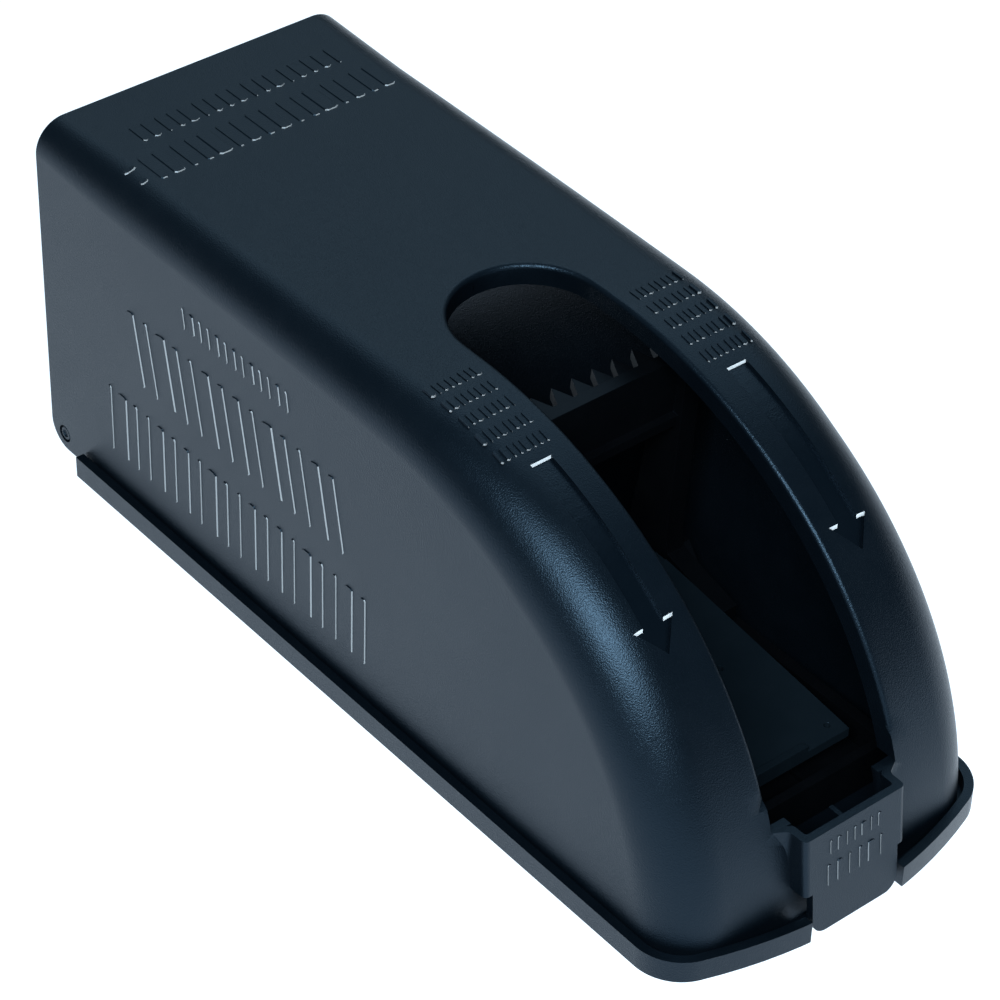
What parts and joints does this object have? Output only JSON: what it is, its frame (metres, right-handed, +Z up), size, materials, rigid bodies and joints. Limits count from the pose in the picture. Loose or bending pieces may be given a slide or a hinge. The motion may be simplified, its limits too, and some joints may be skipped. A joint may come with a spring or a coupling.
{
  "type": "covered snap trap",
  "caption": "Snap trap in a hinged plastic cover with a finger slot, a lift tab, a toothed jaw, a setting lever and a bait pedal on a base tray.",
  "frame": {"origin": "centre of the overall box in plan, at the flat underside of the base tray", "axes": "+Y towards the entrance and the cover's hinge, -Y towards the lift tab, +X across, +Z up"},
  "size_m": [0.099, 0.2504, 0.0972],
  "materials": {
    "shell": "moulded, fine spark-eroded grain",
    "trap": "moulded, smooth satin",
    "steel": "zinc plated",
    "cup": "moulded, satin"
  },
  "bodies": {
    "base": {"base_tray": "shell", "hinge_pin_left": "shell", "hinge_pin_right": "shell", "trap_frame": "trap", "frame_screw_1": "steel", "frame_screw_2": "steel", "frame_screw_3": "steel", "frame_screw_4": "steel", "pivot_pin": "steel", "pivot_cap_left": "steel", "pivot_cap_right": "steel", "spring_left": "steel", "spring_right": "steel", "trigger_pin": "steel", "trigger_spring": "steel"},
    "cover": {"cover": "shell"},
    "jaw": {"upper_jaw": "trap", "setting_lever": "trap"},
    "pedal": {"trigger_pedal": "trap", "bait_cup": "cup"}
  },
  "joints": [
    {"name": "cover_hinge", "type": "hinge", "parent": "base", "child": "cover", "pos_m": [0, 0.1196, 0.0069], "axis": [-1, 0, 0], "range_deg": [0, 90]},
    {"name": "jaw_pivot", "type": "hinge", "parent": "base", "child": "jaw", "pos_m": [0, -0.018, 0.017], "axis": [-1, 0, 0], "range_deg": [0, 88], "deforming": ["spring_left", "spring_right"]},
    {"name": "pedal_pivot", "type": "hinge", "parent": "base", "child": "pedal", "pos_m": [0, 0.008, 0.009], "axis": [-1, 0, 0], "range_deg": [0, 6], "stiffness_Nm_per_rad": 0.02, "springref_deg": -5.73, "deforming": ["trigger_spring"]}
  ]
}
